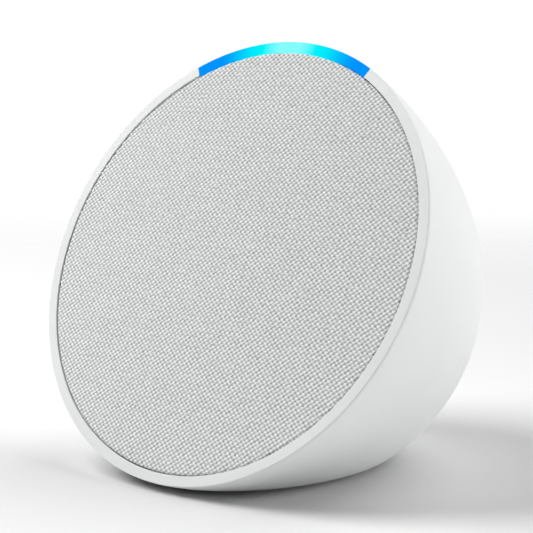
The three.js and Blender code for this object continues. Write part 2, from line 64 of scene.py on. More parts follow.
def joint(name):
    """The CAD joint of that name."""
    return next(j for j in frame["joints"] if j["name"] == name)


OUT = Vector(joint("cone_stroke")["axis"]).normalized()
ACROSS = Vector((1, 0, 0))
UP_FACE = OUT.cross(ACROSS)
TILT = math.atan2(OUT.z, -OUT.y)
SIN, COS = math.sin(TILT), math.cos(TILT)


def reach(node, direction):
    """How far a CAD node reaches along a direction, as its lowest and highest values in metres."""
    along = [direction.dot(v.co) for v in frame["nodes"][node].data.vertices]
    return min(along), max(along)


CENTRE = UP_FACE * (sum(reach("grille_fabric", UP_FACE)) / 2) + OUT * reach("front_bezel", OUT)[1]
FACE_TO_WORLD = Matrix((
    (*[v.x for v in (ACROSS, UP_FACE, OUT)], CENTRE.x),
    (*[v.y for v in (ACROSS, UP_FACE, OUT)], CENTRE.y),
    (*[v.z for v in (ACROSS, UP_FACE, OUT)], CENTRE.z),
    (0, 0, 0, 1),
))
WORLD_TO_FACE = FACE_TO_WORLD.inverted()

FACE_RADIUS = reach("front_bezel", ACROSS)[1] / MM
BASE_DROP = (CENTRE.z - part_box("rear_shell")[0][2]) / MM
DOME_DEPTH = 61.0
DOME_ACROSS, DOME_ALONG = 2.9, 1.77  # superellipse exponents of the dome, as in the CAD
BASE_SOFTNESS = 1.1  # height over which the flat underside turns into the dome
WALL = 2.2

RIM_INNER = FACE_RADIUS - 2.25
RIM_LIP = 0.30
SHELL_MOUTH = 0.37
BEZEL_WALL_RADIUS = RIM_INNER + 0.45
BEZEL_BACK = 3.9
BEZEL_GAP = 0.3  # between the bezel's wall and the shell
REBATE_RADIUS = BEZEL_WALL_RADIUS + BEZEL_GAP
LEDGE_FRONT, LEDGE_INNER = 2.7, 44.6
LIGHT_ANGLE = math.radians(29)  # half of the light bar's arc
LIGHT_BAR_BACK = 1.2
LIGHT_BAR_GAP = 0.05

CLOTH_RADIUS = RIM_INNER - 0.17
CLOTH_OVAL = 0.07  # how far its edge strays from a circle
CLOTH_NARROW = math.radians(17)  # where the oval edge lies furthest in, from the top
CLOTH_DROP = 0.2  # of the edge, as it turns down
CLOTH_DEPTH = 0.22  # to the valleys of the weave
CLOTH_EDGE = 2.4
YARN_X, YARN_Y = 0.65, 0.55  # spacing of the yarns across and up the face

KEY_RADIUS, KEY_HOLE = 4.5, 4.72
KEY_FILLET, KEY_DISH = 0.25, 0.14
KEY_FLANGE = 5.7
KEY_FLANGE_FRONT, KEY_FLANGE_BACK = WALL + 0.3, WALL + 1.2
KEY_STEM, KEY_STEM_END = 1.6, 42.6  # its radius, and how far from the face's middle it ends
MIC_HOLE = 0.6
RECESS_RADIUS = 6.2
RECESS_WALL, RECESS_CORNER = 2.4, 0.4
NOSE_RADIUS, NOSE_SUNK = 3.2, 0.3  # the socket's nose, and how far its face lies below the recess's floor
NOSE_GAP = 0.3
RECESS_FLOOR = (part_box("power_inlet")[1][1] - CENTRE.y) / MM + NOSE_SUNK


def place_of(node):
    """The middle of a CAD node in the face's frame, in millimetres."""
    low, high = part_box(node)
    return (WORLD_TO_FACE @ ((Vector(low) + Vector(high)) / 2)) / MM


KEY_DEPTH = -place_of("mic_off_plunger").z
MIC_PLACE = place_of("microphone_right")
MIC_DEPTH, MIC_ANGLE = -MIC_PLACE.z, math.atan2(MIC_PLACE.x, MIC_PLACE.y)
INLET_Z = (sum(corner[2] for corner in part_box("inlet_pin")) / 2 - CENTRE.z) / MM
KEYS = {
    name: math.asin(-joint(f"{name}_press")["axis"][0])
    for name in ("volume_down", "mic_off", "volume_up")
}

# ---------------------------------------------------------------- mesh helpers


class Builder:
    """Collects points in the face's frame, in millimetres, and faces between loops of them."""

    def __init__(self):
        self.points, self.faces, self.count = [], [], 0

    def loop(self, x, y, z):
        """Adds points and returns their numbers."""
        points = np.stack(np.broadcast_arrays(x, y, z), axis=-1).astype(float).reshape(-1, 3)
        self.points.append(points)
        self.count += len(points)
        return np.arange(self.count - len(points), self.count)

    def bridge(self, a, b, closed=True):
        """A strip of quads between two loops of equal length."""
        n = len(a)
        for i in range(n if closed else n - 1):
            j = (i + 1) % n
            self.faces.append((a[i], a[j], b[j], b[i]))

    def bridge_all(self, loops, closed=True):
        """Strips between each loop and the next."""
        for a, b in zip(loops, loops[1:]):
            self.bridge(a, b, closed)

    def cap(self, loop):
        """Closes a loop with one face."""
        self.faces.append(tuple(loop))

    def make(self, name, body, material, smooth=38.0):
        """The finished piece, which rides on the body if one is named."""
        world = np.array(FACE_TO_WORLD)
        points = np.concatenate(self.points) * MM @ world[:3, :3].T + world[:3, 3]
        mesh = bpy.data.meshes.new(name)
        mesh.from_pydata(points.tolist(), [], [tuple(int(i) for i in f) for f in self.faces])
        work = bmesh.new()
        work.from_mesh(mesh)
        bmesh.ops.remove_doubles(work, verts=work.verts, dist=1e-7)
        loose = [v for v in work.verts if not v.link_faces]
        bmesh.ops.delete(work, geom=loose, context="VERTS")
        bmesh.ops.recalc_face_normals(work, faces=work.faces)
        work.to_mesh(mesh)
        work.free()
        mesh.shade_smooth()
        mesh.set_sharp_from_angle(angle=math.radians(smooth))
        piece = bpy.data.objects.new(name, mesh)
        bpy.context.scene.collection.objects.link(piece)
        mesh.materials.append(material)
        if body:
            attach(piece, body)
        return piece


def stand_in(piece, node):
    """The piece is shown in place of the CAD node, which is hidden."""
    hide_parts(node)


def arc(centre, radius, start, end, steps):
    """Points of a circular arc, angles in degrees."""
    return [
        (centre[0] + radius * math.cos(math.radians(a)), centre[1] + radius * math.sin(math.radians(a)))
        for a in np.linspace(start, end, steps + 1)
    ]


def eased(radius, depth, size, side):
    """Three points that round off the corner at (radius, depth), reached along the wall from that side."""
    small = 0.3 * size
    return [(radius, depth + side * size), (radius - small, depth + side * small), (radius - size, depth)]


def swept(name, outline, start, end, body, material, segments):
    """A closed (radius, depth) outline swept round part of the face, with flat ends."""
    builder = Builder()
    turn = np.linspace(start, end, segments + 1)
    strips = [builder.loop(r * np.sin(turn), r * np.cos(turn), -d) for r, d in outline]
    for a, b in zip(strips, strips[1:] + strips[:1]):
        builder.bridge(a, b, closed=False)
    builder.cap([s[0] for s in strips])
    builder.cap([s[-1] for s in strips])
    return builder.make(name, body, material)


def full_turn(steps):
    """Evenly spaced angles once round a circle."""
    return np.linspace(0, 2 * math.pi, steps, endpoint=False)


def turned(name, outline, body, material, segments=64):
    """A (radius, distance back) outline turned about the inlet's axis and closed at both ends."""
    builder = Builder()
    turn = full_turn(segments)
    loops = [inlet_loop(builder, r, d, turn) for r, d in outline]
    builder.bridge_all(loops)
    builder.cap(loops[0])
    builder.cap(loops[-1])
    return builder.make(name, body, material)


# ---------------------------------------------------------------- the dome

HALVINGS = 50  # of the interval in which an edge is looked for


def dome_radius(depth, inset):
    """The dome's radius at a depth, moved inwards by inset."""
    length = DOME_DEPTH - inset
    share = np.clip(np.asarray(depth, float) / length, 0, 1)
    return (FACE_RADIUS - inset) * np.maximum(1 - share**DOME_ALONG, 0) ** (1 / DOME_ACROSS)


def dome(phi, depth, inset=0.0):
    """The dome's surface moved inwards by inset, with its underside flattened. phi is 0 at the top."""
    radius = dome_radius(depth, inset)
    x = radius * np.sin(phi)
    y = radius * np.cos(phi)
    z = -np.asarray(depth, float) * np.ones_like(x)
    height = y * COS + z * SIN
    floor = inset - BASE_DROP
    over = height - floor
    bent = (over + BASE_SOFTNESS) ** 2 / (4 * BASE_SOFTNESS)
    eased = np.where(np.abs(over) < BASE_SOFTNESS, bent, np.maximum(over, 0))
    lift = floor + eased - height
    return x, y + lift * COS, z + lift * SIN


def inlet_surface(radius, turn, inset=0.0):
    """Where a cylinder about the inlet's level axis meets the dome: x, height and distance back."""
    x = radius * np.sin(turn)
    height = INLET_Z + radius * np.cos(turn)
    near, far = np.full_like(x, DOME_DEPTH / 2), np.full_like(x, DOME_DEPTH * 1.2)
    for _ in range(HALVINGS):
        back = (near + far) / 2
        depth = back * COS - height * SIN
        inside = dome_radius(depth, inset) > np.hypot(x, back * SIN + height * COS)
        near, far = np.where(inside, back, near), np.where(inside, far, back)
    return x, height, (near + far) / 2


def from_upright(x, height, back):
    """A point on upright axes at the face's centre, in the face's frame."""
    return x, back * SIN + height * COS, -(back * COS - height * SIN)


# ---------------------------------------------------------------- rear shell

COLUMNS = 360
RINGS = 96
BLEND_RING = 78  # behind this ring the grid bends towards the power recess
BLEND_ANGLE = math.radians(76)  # how far back along the dome that ring is
HOLE_FILLET = 0.22
HOLE_RINGS = 6  # of faces between a hole and the grid
KEY_PATCH, MIC_PATCH = 7, 2  # columns that a hole's patch of the grid takes to each side of its middle
PATCH_GROWTH, PATCH_MARGIN = 1.22, 0.5  # half the patch's height: the first times the radius, plus the second
BENDS = np.radians((30, 60, 90))  # the steps of a rounded edge


def hole_list():
    """Each round hole in the shell: angle, depth, radius and half the width of its patch in columns."""
    keys = [(angle, KEY_DEPTH, KEY_HOLE, KEY_PATCH) for angle in KEYS.values()]
    mics = [(side * MIC_ANGLE, MIC_DEPTH, MIC_HOLE, MIC_PATCH) for side in (-1, 1)]
    return keys + mics


def shell_grid(inset):
    """phi and depth of every grid point of the shell's outer or inner skin."""
    length = DOME_DEPTH - inset
    turn = full_turn(COLUMNS)
    first = SHELL_MOUTH + HOLE_FILLET / 2 if inset == 0 else BEZEL_BACK + BEZEL_GAP
    start = math.asin((first / length) ** (DOME_ALONG / 2))
    edge_radius = RECESS_RADIUS + (HOLE_FILLET if inset == 0 else RECESS_WALL)
    x, height, back = inlet_surface(edge_radius, turn, inset)
    _, up, behind = from_upright(x, height, back)
    edge_phi = np.arctan2(x, up)
    edge_phi = turn + (edge_phi - turn + math.pi) % (2 * math.pi) - math.pi
    edge_theta = np.arcsin(np.clip(-behind / length, 0, 1) ** (DOME_ALONG / 2))
    phi = np.zeros((RINGS + 1, COLUMNS))
    theta = np.zeros((RINGS + 1, COLUMNS))
    for ring in range(RINGS + 1):
        along = min(ring / BLEND_RING, 1)
        blend = max(ring - BLEND_RING, 0) / (RINGS - BLEND_RING)
        phi[ring] = turn + blend * (edge_phi - turn)
        theta[ring] = (1 - blend) * (start + along * (BLEND_ANGLE - start)) + blend * edge_theta
    depth = length * np.sin(theta) ** (2 / DOME_ALONG)
    return phi, depth


def shell_skin(builder, inset):
    """One skin of the shell, with a ring of faces round each hole. Returns its edge loops."""
    phi, depth = shell_grid(inset)
    rows = [builder.loop(*dome(p, d, inset)) for p, d in zip(phi, depth)]
    kept = np.ones((RINGS, COLUMNS), bool)
    holes = [open_patch(builder, rows, depth[:, 0], kept, inset, *hole) for hole in hole_list()]
    for r in range(RINGS):
        for c in np.flatnonzero(kept[r]):
            n = (c + 1) % COLUMNS
            builder.faces.append((rows[r][c], rows[r][n], rows[r + 1][n], rows[r + 1][c]))
    return rows[0], rows[-1], holes


def open_patch(builder, rows, depth, kept, inset, angle, hole_depth, radius, half):
    """Takes a patch out of the grid and fills it in to the edge of the hole. Returns the hole's loop."""
    middle = round(math.degrees(angle) * COLUMNS / 360)
    left, right = middle - half, middle + half
    margin = radius * PATCH_GROWTH + PATCH_MARGIN
    low = int(np.searchsorted(depth, hole_depth - margin)) - 1
    high = int(np.searchsorted(depth, hole_depth + margin))
    kept[low:high, [c % COLUMNS for c in range(left, right)]] = False

    edge = [(low, c) for c in range(left, right)] + [(r, right) for r in range(low, high)]
    edge += [(high, c) for c in range(right, left, -1)] + [(r, left) for r in range(high, low, -1)]
    edge_turn = np.array([c * 2 * math.pi / COLUMNS for _, c in edge])
    edge_depth = np.array([depth[r] for r, _ in edge])
    edge_side = dome_radius(edge_depth, inset) * np.sin(edge_turn - angle)
    around = np.arctan2(edge_depth - hole_depth, edge_side)
    outer = radius + (HOLE_FILLET if inset == 0 else 0)
    loops = [np.array([rows[r][c % COLUMNS] for r, c in edge])]
    for step in range(1, HOLE_RINGS + 1):
        share = step / HOLE_RINGS
        side = edge_side + share * (outer * np.cos(around) - edge_side)
        down = edge_depth + share * (hole_depth + outer * np.sin(around) - edge_depth)
        turn = angle + np.arcsin(side / dome_radius(down, inset))
        loops.append(builder.loop(*dome(turn, down, inset)))
    if inset == 0:
        loops += [hole_loop(builder, angle, hole_depth, radius, around, bend) for bend in BENDS]
    builder.bridge_all(loops)
    return loops[-1]


def hole_loop(builder, angle, hole_depth, radius, around, bend):
    """One loop of the rounded edge where the outer skin turns into a hole."""
    spread = radius + HOLE_FILLET * (1 - math.sin(bend))
    sunk = HOLE_FILLET * (1 - math.cos(bend))
    down = hole_depth + spread * np.sin(around)
    turn = angle + np.arcsin(spread * np.cos(around) / dome_radius(down, sunk))
    return builder.loop(*dome(turn, down, sunk))


def rear_shell(material):
    """Both skins of the shell, joined at the mouth, at each hole and in the power recess."""
    builder = Builder()
    mouth_out, recess_out, holes_out = shell_skin(builder, 0.0)
    mouth_in, recess_in, holes_in = shell_skin(builder, WALL)
    for a, b in zip(holes_out, holes_in):
        builder.bridge(a, b)

    turn = full_turn(COLUMNS)
    lip = eased(FACE_RADIUS, SHELL_MOUTH, HOLE_FILLET / 2, 1)[1:]
    lip += [(REBATE_RADIUS, SHELL_MOUTH), (REBATE_RADIUS, BEZEL_BACK + BEZEL_GAP)]
    loops = [mouth_out]
    loops += [builder.loop(r * np.sin(turn), r * np.cos(turn), -d) for r, d in lip]
    builder.bridge_all(loops + [mouth_in])

    loops = [recess_out]
    for bend in BENDS:
        radius = RECESS_RADIUS + HOLE_FILLET * (1 - math.sin(bend))
        x, height, back = inlet_surface(radius, turn)
        loops.append(builder.loop(*from_upright(x, height, back - HOLE_FILLET * (1 - math.cos(bend)))))
    nose_hole, behind = NOSE_RADIUS + NOSE_GAP, RECESS_FLOOR - RECESS_WALL
    steps = eased(RECESS_RADIUS, RECESS_FLOOR, RECESS_CORNER, 1)
    steps += [(nose_hole, RECESS_FLOOR), (nose_hole, behind), (RECESS_RADIUS + RECESS_WALL, behind)]
    loops += [inlet_loop(builder, r, d, turn) for r, d in steps]
    builder.bridge_all(loops + [recess_in])
    return builder.make("shell", "housing", material)


def inlet_loop(builder, radius, back, turn):
    """A circle about the inlet's level axis."""
    return builder.loop(*from_upright(radius * np.sin(turn), INLET_Z + radius * np.cos(turn), back))


# ---------------------------------------------------------------- rim and light bar


def rim_front():
    """The front of the rim's section, from its inner edge to the back of its lip."""
    inner, outer = 0.12, 0.06
    flat = 0.02  # a narrow strip beside each rounded edge keeps the shading of the front level
    return (
        arc((RIM_INNER + inner, inner), inner, 180, 270, 3)
        + [(RIM_INNER + inner + flat, 0), (FACE_RADIUS - outer - flat, 0)]
        + arc((FACE_RADIUS - outer, outer), outer, -90, 0, 3)
        + [(FACE_RADIUS, RIM_LIP - 0.04), (FACE_RADIUS - 0.04, RIM_LIP)]
        + [(BEZEL_WALL_RADIUS, RIM_LIP)]
    )


def front_rim(material):
    """The rim with the wall and ledge behind it, open where the light bar is."""
    outline = rim_front() + [
        (BEZEL_WALL_RADIUS, BEZEL_BACK),
        (LEDGE_INNER, BEZEL_BACK),
        (LEDGE_INNER, LEDGE_FRONT),
        (RIM_INNER, LEDGE_FRONT),
    ]
    start = LIGHT_ANGLE + LIGHT_BAR_GAP / FACE_RADIUS
    return swept("rim", outline, start, 2 * math.pi - start, "housing", material, 300)


def light_bar(material):
    """The diffuser, with the rim's front and a flat back."""
    outline = rim_front() + [(BEZEL_WALL_RADIUS, LIGHT_BAR_BACK), (RIM_INNER, LIGHT_BAR_BACK)]
    return swept("light_strip", outline, -LIGHT_ANGLE, LIGHT_ANGLE, "housing", material, 72)


# ---------------------------------------------------------------- cloth


def weave_height(x, y, rng):
    """Height of the woven surface above its valleys: one crown on each crossing of the yarns."""
    column, row = np.floor(x / YARN_X).astype(int), np.floor(y / YARN_Y).astype(int)
    crown = np.abs(np.sin(math.pi * x / YARN_X)) * np.abs(np.sin(math.pi * y / YARN_Y))
    warp_on_top = (column + row) % 2 == 0
    uneven = rng.normal(0, 0.012, x.shape)
    return crown * (np.where(warp_on_top, 0.15, 0.09) + uneven)


def cloth_radius(turn):
    """The slightly oval outline of the cloth. turn is 0 at the top."""
    return CLOTH_RADIUS - CLOTH_OVAL * np.cos(2 * (turn - CLOTH_NARROW))


def cloth(material):
    """The woven disc: two quads to a yarn each way, clipped to a clean outline, its edge turned down."""
    rng = np.random.default_rng(7)
    reach_x, reach_y = math.ceil(CLOTH_RADIUS / YARN_X) + 1, math.ceil(CLOTH_RADIUS / YARN_Y) + 1
    xs = np.arange(-2 * reach_x, 2 * reach_x + 1) * YARN_X / 2
    ys = np.arange(-2 * reach_y, 2 * reach_y + 1) * YARN_Y / 2
    x, y = np.meshgrid(xs, ys)
    z = weave_height(x, y, rng) - CLOTH_DEPTH
    away, edge = np.hypot(x, y), cloth_radius(np.arctan2(x, y))
    snapped = away > edge - YARN_X * 0.2
    scale = np.where(snapped, edge / np.maximum(away, 1e-9), 1)
    x, y = x * scale, y * scale
    z = np.where(snapped, -CLOTH_DEPTH - CLOTH_DROP, z)

    builder = Builder()
    index = builder.loop(x, y, z).reshape(x.shape)
    corners = [index[:-1, :-1], index[:-1, 1:], index[1:, 1:], index[1:, :-1]]
    off = [snapped[:-1, :-1], snapped[:-1, 1:], snapped[1:, 1:], snapped[1:, :-1]]
    used = np.sum(off, axis=0) < 4
    builder.faces += list(zip(*[c[used].tolist() for c in corners]))

    edge_angle = turned_edge_angles(builder, index, snapped, used)
    rims = [edge_angle]
    points = np.concatenate(builder.points)[edge_angle]
    turn = np.arctan2(points[:, 0], points[:, 1])
    for inwards, depth in ((0.0, 0.6), (0.12, 0.8), (0.2, CLOTH_EDGE)):
        radius = cloth_radius(turn) - inwards
        rims.append(builder.loop(radius * np.sin(turn), radius * np.cos(turn), -depth))
    builder.bridge_all(rims)
    return builder.make("grille_cloth", "housing", material, smooth=70)


def turned_edge_angles(builder, index, snapped, used):
    """The cloth's edge points in order round the circle."""
    touched = np.zeros(snapped.shape, bool)
    for dr in (0, 1):
        for dc in (0, 1):
            touched[dr:dr + used.shape[0], dc:dc + used.shape[1]] |= used
    edge = index[snapped & touched]
    points = np.concatenate(builder.points)[edge]
    return edge[np.argsort(np.arctan2(points[:, 0], points[:, 1]))]


# ---------------------------------------------------------------- keys


def key_loop(builder, angle, radius, inset, turn):
    """A circle on the dome about a key's axis, sunk by inset."""
    down = KEY_DEPTH + radius * np.sin(turn)
    phi = angle + np.arcsin(radius * np.cos(turn) / dome_radius(down, inset))
    return builder.loop(*dome(phi, down, inset))


def key(name, angle, material):
    """A slightly dished cap, flush with the shell, its retaining flange and its stem."""
    builder = Builder()
    turn = full_turn(96)
    flat = KEY_RADIUS - KEY_FILLET
    outline = [(r, KEY_DISH * (1 - (r / flat) ** 2)) for r in np.linspace(0.25, flat, 14)]
    outline += [(flat + KEY_FILLET * math.sin(b), KEY_FILLET * (1 - math.cos(b))) for b in BENDS]
    outline += [(KEY_RADIUS, KEY_FLANGE_FRONT), (KEY_FLANGE, KEY_FLANGE_FRONT)]
    outline += [(KEY_FLANGE, KEY_FLANGE_BACK), (KEY_STEM, KEY_FLANGE_BACK)]
    loops = [key_loop(builder, angle, r, i, turn) for r, i in outline]
    side, down = KEY_STEM * np.cos(turn), KEY_DEPTH + KEY_STEM * np.sin(turn)
    x = side * math.cos(angle) + KEY_STEM_END * math.sin(angle)
    y = KEY_STEM_END * math.cos(angle) - side * math.sin(angle)
    loops.append(builder.loop(x, y, -down))
    builder.bridge_all(loops)
    builder.cap(loops[0])
    builder.cap(loops[-1])
    return builder.make(f"{name}_cap", f"{name}_button", material)


MARK_INSETS = (0.15, 0.085)  # of a mark's back and front, so that it stands just above the dished key
MARK_LENGTH, MARK_WIDTH = 3.0, 0.42
MARK_SLIT = 0.02
CROSSED_RING = (1.55, 1.2)  # outer and inner radius of the ring that is crossed out
CROSSED_ARC = 68  # degrees of it between two breaks
SLASH_LENGTH, SLASH_WIDTH = 4.2, 0.36


def mark(name, body, angle, outlines, material):
    """Flat marks printed on a key: each outline is (across, back) points about the key's centre."""
    builder = Builder()
    for outline in outlines:
        across, back = np.array(outline).T
        down = KEY_DEPTH + back
        layers = []
        for inset in MARK_INSETS:
            phi = angle + np.arcsin(across / dome_radius(down, inset))
            layers.append(builder.loop(*dome(phi, down, inset)))
        builder.bridge(*layers)
        builder.cap(layers[0])
        builder.cap(layers[1])
    piece = builder.make(name, body, material)


def bar(length, width, turned_by=0.0):
    """A bar with round ends, as an outline."""
    half = length / 2 - width / 2
    points = arc((half, 0), width / 2, -90, 90, 8) + arc((-half, 0), width / 2, 90, 270, 8)
    c, s = math.cos(turned_by), math.sin(turned_by)
    return [(x * c - y * s, x * s + y * c) for x, y in points]


def key_marks(material):
    """A minus, a plus, and a ring crossed out by a slash."""
    minus = [bar(MARK_LENGTH, MARK_WIDTH)]
    mark("minus_mark", "volume_down_button", KEYS["volume_down"], minus, material)
    mark("plus_mark", "volume_up_button", KEYS["volume_up"], plus_outlines(), material)
    outer, inner = CROSSED_RING
    crossed = []
    for quarter in range(4):
        start = 90 * quarter + 90 - CROSSED_ARC / 2
        end = start + CROSSED_ARC
        crossed.append(arc((0, 0), outer, start, end, 12) + arc((0, 0), inner, end, start, 12))
    crossed.append(bar(SLASH_LENGTH, SLASH_WIDTH, math.radians(45)))
    mark("mic_off_mark", "mic_off_button", KEYS["mic_off"], crossed, material)


def plus_outlines():
    """A plus sign as one bar and two stubs, so that no two outlines overlap."""
    stub = (MARK_LENGTH - MARK_WIDTH) / 2 - MARK_SLIT
    outlines = [bar(MARK_LENGTH, MARK_WIDTH)]
    for side in (-1, 1):
        middle = side * (MARK_WIDTH / 2 + MARK_SLIT + stub / 2)
        outlines.append([(y, x + middle) for x, y in bar(stub, MARK_WIDTH)])
    return outlines


# ---------------------------------------------------------------- foot, inlet

FOOT_MIDDLE = (DOME_DEPTH * 0.42) * COS  # how far back its outline is measured from
FOOT_INSET = 2.0
FOOT_FILLET = 0.5
SOCKET_RADIUS, SOCKET_BORE = 4.4, 2.2
SOCKET_SHOULDER = 2.75  # from the recess's floor in to the socket's flange
SOCKET_BASE = 4.0  # thickness past the end of its bore
NOSE_CORNER, SOCKET_CHAMFER = 0.2, 0.25
PIN_RADIUS, PIN_GAP = 0.8, 0.3  # the gap is from the socket's base to the pin
PIN_TIP = ((0.0, 0.5), (0.1, 0.2), (0.35, 0.03), (0.7, 0.0))  # its rounding, inwards and short of the tip


def foot(material):
    """A flat rubber pad that follows the outline of the shell's underside."""
    builder = Builder()
    turn = full_turn(200)
    near, far = np.zeros_like(turn), np.full_like(turn, DOME_DEPTH)
    for _ in range(HALVINGS):
        radius = (near + far) / 2
        x, back = radius * np.sin(turn), FOOT_MIDDLE + radius * np.cos(turn)
        _, up, behind = from_upright(x, -BASE_DROP, back)
        inside = (dome_radius(-behind, FOOT_INSET) > np.hypot(x, up)) & (-behind > 1)
        near, far = np.where(inside, radius, near), np.where(inside, far, radius)
    proud = (CENTRE.z / MM) - BASE_DROP
    outline = [(0, 0.55), (0, 0.0)]
    outline += [(FOOT_FILLET * (1 - math.cos(b)), -proud + FOOT_FILLET * (1 - math.sin(b))) for b in BENDS]
    groove_start, groove_end, groove_depth, slope = 2.4, 3.7, 0.25, 0.3
    outline += [(groove_start, -proud), (groove_start + slope, -proud + groove_depth)]
    outline += [(groove_end - slope, -proud + groove_depth), (groove_end, -proud)]
    loops = []
    for inwards, height in outline:
        x = (near - inwards) * np.sin(turn)
        back = FOOT_MIDDLE + (near - inwards) * np.cos(turn)
        loops.append(builder.loop(*from_upright(x, height - BASE_DROP, back)))
    builder.bridge_all(loops)
    builder.cap(loops[0])
    builder.cap(loops[-1])
    return builder.make("rubber_foot", "housing", material)


def power_inlet(plastic, metal):
    """The socket in the recess, a flanged tube with a blind bore, and the pin in the middle of it."""
    inner_end = (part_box("power_inlet")[0][1] - CENTRE.y) / MM
    face, shoulder = RECESS_FLOOR - NOSE_SUNK, RECESS_FLOOR - SOCKET_SHOULDER
    outline = [(SOCKET_RADIUS, inner_end), (SOCKET_RADIUS, shoulder), (NOSE_RADIUS, shoulder)]
    outline += eased(NOSE_RADIUS, face, NOSE_CORNER, -1)
    outline += [(SOCKET_BORE + SOCKET_CHAMFER, face), (SOCKET_BORE, face - SOCKET_CHAMFER)]
    outline += [(SOCKET_BORE, inner_end + SOCKET_BASE)]
    stand_in(turned("inlet_housing", outline, "housing", plastic), "power_inlet")
    tip = (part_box("inlet_pin")[1][1] - CENTRE.y) / MM
    pin = [(PIN_RADIUS, inner_end + SOCKET_BASE + PIN_GAP)]
    pin += [(PIN_RADIUS - inwards, tip - short) for inwards, short in PIN_TIP]
    stand_in(turned("inlet_centre_pin", pin, "housing", metal, segments=32), "inlet_pin")


# ---------------------------------------------------------------- loudspeaker

SPIDER_LEAVES, SPIDER_WAVES = 12, 4
SPIDER_WAVE_HEIGHT, SPIDER_THICKNESS = 0.3, 0.25
SPIDER_SLOT = math.radians(0.8)


def spider(material):
    """Moulded corrugated leaves that centre the voice coil, spanning from the coil out to the basket."""
    inner = reach("voice_coil_former", ACROSS)[1] / MM + 0.1
    outer = reach("driver_spider", ACROSS)[1] / MM
    middle = (CENTRE.dot(OUT) - sum(reach("driver_spider", OUT)) / 2) / MM
    radii = np.linspace(inner, outer, 8 * SPIDER_WAVES + 1)
    phases = np.linspace(0, 2 * math.pi * SPIDER_WAVES, len(radii))
    depths = middle + SPIDER_WAVE_HEIGHT * np.cos(phases)
    front = list(zip(radii, depths - SPIDER_THICKNESS / 2))
    back = list(zip(radii, depths + SPIDER_THICKNESS / 2))
    half_leaf = math.pi / SPIDER_LEAVES - SPIDER_SLOT / 2
    for i in range(SPIDER_LEAVES):
        turn = 2 * math.pi * i / SPIDER_LEAVES
        leaf = swept(f"spider_leaf_{i + 1}", front + back[::-1], turn - half_leaf, turn + half_leaf,
                     None, material, 6)
        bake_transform(leaf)
        stand_in(leaf, "driver_spider")


# ---------------------------------------------------------------- materials


class Nodes:
    """A material, and short calls that add nodes to it."""

    def __init__(self, name):
        self.material = bpy.data.materials.new(name)
        self.material.use_nodes = True
        self.tree = self.material.node_tree
        self.shader = self.tree.nodes["Principled BSDF"]
        self.where = self.add("ShaderNodeTexCoord").outputs["Object"]

    def add(self, kind, **settings):
        """A new node with those settings."""
        node = self.tree.nodes.new(kind)
        for setting, value in settings.items():
            setattr(node, setting, value)
        return node

    def link(self, source, target):
        self.tree.links.new(source, target)

    def math(self, operation, a, b=0.0):
        """The result of an operation on two values, each a number or another node's output."""
        node = self.add("ShaderNodeMath", operation=operation)
        for socket, value in zip(node.inputs, (a, b)):
            if isinstance(value, bpy.types.NodeSocket):
                self.link(value, socket)
            else:
                socket.default_value = value
        return node.outputs[0]

    def noise(self, scale, detail=2.0, vector=None, rough=0.5):
        """Noise in object space, or along another vector."""
        node = self.add("ShaderNodeTexNoise")
        node.inputs["Scale"].default_value = scale
        node.inputs["Detail"].default_value = detail
        node.inputs["Roughness"].default_value = rough
        self.link(vector or self.where, node.inputs["Vector"])
        return node.outputs["Fac"]

    def ramp(self, factor, stops):
        """A colour that runs through the stops, each a position and a colour."""
        node = self.add("ShaderNodeValToRGB")
        elements = node.color_ramp.elements
        while len(elements) < len(stops):
            elements.new(0.5)
        for element, (position, colour) in zip(elements, stops):
            element.position = position
            element.color = (*colour, 1)
        self.link(factor, node.inputs["Fac"])
        return node.outputs["Color"]

    def colour(self, factor, dark, light):
        """Runs the base colour from dark to light as noise goes from 0.3 to 0.7."""
        self.link(self.ramp(factor, [(0.3, dark), (0.7, light)]), self.shader.inputs["Base Color"])

    def spread(self, factor, low, high):
        """Maps noise from 0.3..0.7 to low..high."""
        node = self.add("ShaderNodeMapRange")
        node.inputs["From Min"].default_value, node.inputs["From Max"].default_value = 0.3, 0.7
        node.inputs["To Min"].default_value, node.inputs["To Max"].default_value = low, high
        self.link(factor, node.inputs["Value"])
        return node.outputs["Result"]

    def bump(self, height, strength, distance):
        """Fine relief of the surface. The distance is in metres."""
        node = self.add("ShaderNodeBump")
        node.inputs["Strength"].default_value = strength
        node.inputs["Distance"].default_value = distance
        self.link(height, node.inputs["Height"])
        self.link(node.outputs["Normal"], self.shader.inputs["Normal"])

    def face_place(self):
        """x, y and z in the face's frame, in metres."""
        node = self.add("ShaderNodeMapping")
        turn = WORLD_TO_FACE.to_euler()
        node.inputs["Rotation"].default_value = turn
        node.inputs["Location"].default_value = WORLD_TO_FACE.to_translation()
        self.link(self.where, node.inputs["Vector"])
        split = self.add("ShaderNodeSeparateXYZ")
        self.link(node.outputs["Vector"], split.inputs["Vector"])
        return split.outputs


def mixed(colour, towards, share):
    """The colour moved that share of the way towards another."""
    return tuple(a + (b - a) * share for a, b in zip(colour, towards))


def darker(colour, share):
    """The colour moved that share of the way towards black."""
    return mixed(colour, (0, 0, 0), share)


def moulded(name, colour, rough=0.42, gloss=0.4, grain=9000, depth=0.00002, wander=0.03):
    """Moulded plastic: a fine spark-eroded grain, slightly uneven gloss and a trace of colour variation."""
    n = Nodes(name)
    n.colour(n.noise(35, 3), darker(colour, wander), colour)
    n.link(n.spread(n.noise(260, 4), rough - 0.04, rough + 0.05), n.shader.inputs["Roughness"])
    n.bump(n.noise(grain, 3, rough=0.6), 0.35, depth)
    n.shader.inputs["Specular IOR Level"].default_value = gloss
    return n.material


